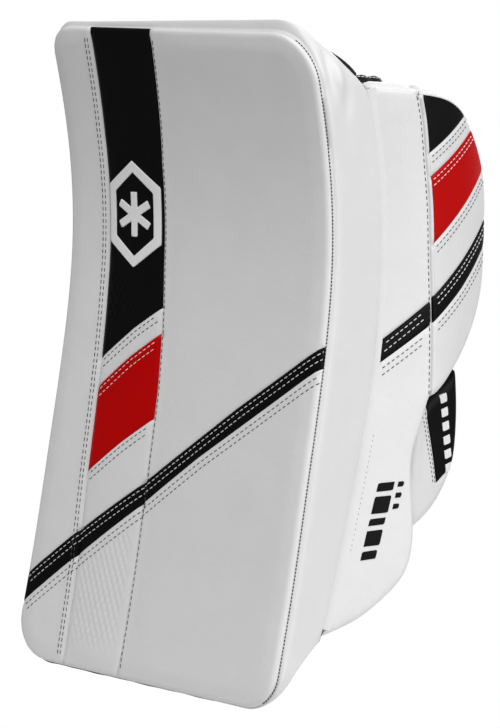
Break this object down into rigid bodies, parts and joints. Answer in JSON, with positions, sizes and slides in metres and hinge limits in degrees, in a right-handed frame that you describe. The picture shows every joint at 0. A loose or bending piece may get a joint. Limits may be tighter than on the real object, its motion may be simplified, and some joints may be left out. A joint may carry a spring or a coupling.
{
  "type": "ice hockey goalkeeper blocker",
  "caption": "Curved padded rectangular board worn on the back of the hand, with a flared side wing, thumb guard, finger stalls, padded cuff and closing wrist strap.",
  "frame": {"origin": "middle of the wearer's hand, inside the glove behind the board", "axes": "+Z from the fingers to the wrist along the board, +X to the thumb side, -Y out of the board's face"},
  "size_m": [0.22, 0.1729, 0.3838],
  "materials": {
    "white_leather": "smooth synthetic leather",
    "black_leather": "smooth synthetic leather",
    "red_leather": "smooth synthetic leather",
    "grey_print": "matt transfer print",
    "foam": "closed-cell foam",
    "plastic_sheet": "sheet plastic",
    "black_nylon": "woven nylon",
    "padded_nylon": "padded knitted nylon",
    "palm_leather": "suede-like synthetic leather",
    "hook_and_loop": "hook and loop tape",
    "rubber_tab": "moulded rubber"
  },
  "bodies": {
    "board": {"board_core": "foam", "board_stiffener": "plastic_sheet", "gusset_little_finger_side": "white_leather", "gusset_thumb_side": "white_leather", "rear_cover": "black_nylon", "top_roll": "white_leather", "bottom_roll": "white_leather", "face_outer_panel": "white_leather", "face_main_panel": "white_leather", "face_stripe_outer": "black_leather", "face_stripe_middle": "black_leather", "face_stripe_main": "black_leather", "face_black_panel": "black_leather", "face_white_band": "white_leather", "face_red_panel": "red_leather", "face_white_wedge": "white_leather", "face_textured_panel": "white_leather", "face_emblem": "grey_print", "hand_pad": "foam", "glove_back": "black_nylon", "palm": "palm_leather", "palm_patch": "palm_leather", "cuff_wall": "black_nylon", "cuff_outer_roll": "padded_nylon", "cuff_inner_roll": "padded_nylon", "loop_patch": "hook_and_loop", "strap_anchor": "black_nylon"},
    "side_wing": {"wing_core": "foam", "wing_stiffener": "plastic_sheet", "wing_lining": "black_nylon", "wing_upper_panel": "white_leather", "wing_stripe": "black_leather", "wing_lobe_panel": "white_leather"},
    "wing_flap": {"flap_core": "foam", "flap_lining": "black_nylon", "flap_black_panel": "black_leather", "flap_white_band": "white_leather", "flap_red_panel": "red_leather", "flap_middle_panel": "white_leather", "flap_stripe": "black_leather", "flap_lower_panel": "white_leather"},
    "closing_strap": {"wrist_strap": "padded_nylon", "hook_patch": "hook_and_loop", "strap_tab": "rubber_tab"},
    "index_finger": {"finger_index": "palm_leather"},
    "middle_finger": {"finger_middle": "palm_leather"},
    "ring_finger": {"finger_ring": "palm_leather"},
    "little_finger": {"finger_little": "palm_leather"},
    "thumb": {"thumb_stall": "palm_leather", "thumb_guard": "white_leather", "thumb_strip": "black_leather", "thumb_web": "foam"}
  },
  "joints": [
    {"name": "wing_flex", "type": "hinge", "parent": "board", "child": "side_wing", "pos_m": [0.1015, -0.031, 0], "axis": [0, 0, -1], "range_deg": [-3, 6], "stiffness_Nm_per_rad": 2},
    {"name": "flap_flex", "type": "hinge", "parent": "side_wing", "child": "wing_flap", "pos_m": [0.1143, 0.0015, 0.036], "axis": [-0.0195, -0.1408, 0.9898], "range_deg": [-4, 8], "stiffness_Nm_per_rad": 1.5},
    {"name": "strap_peel", "type": "hinge", "parent": "board", "child": "closing_strap", "pos_m": [-0.038, 0.03042, 0.101], "axis": [0, 0.0712, 0.9975], "range_deg": [0, 110]},
    {"name": "thumb_bend", "type": "hinge", "parent": "board", "child": "thumb", "pos_m": [0.068, 0.024, 0.008], "axis": [0, 1, 0], "range_deg": [0, 18], "stiffness_Nm_per_rad": 0.6},
    {"name": "index_finger_bend", "type": "hinge", "parent": "board", "child": "index_finger", "pos_m": [0.0348, 0, -0.048], "axis": [1, 0, 0], "range_deg": [-35, 45], "stiffness_Nm_per_rad": 0.3},
    {"name": "middle_finger_bend", "type": "hinge", "parent": "board", "child": "middle_finger", "pos_m": [0.0116, 0, -0.048], "axis": [1, 0, 0], "range_deg": [-35, 45], "stiffness_Nm_per_rad": 0.3},
    {"name": "ring_finger_bend", "type": "hinge", "parent": "board", "child": "ring_finger", "pos_m": [-0.0116, 0, -0.048], "axis": [1, 0, 0], "range_deg": [-35, 45], "stiffness_Nm_per_rad": 0.3},
    {"name": "little_finger_bend", "type": "hinge", "parent": "board", "child": "little_finger", "pos_m": [-0.0348, 0, -0.048], "axis": [1, 0, 0], "range_deg": [-35, 45], "stiffness_Nm_per_rad": 0.3}
  ]
}
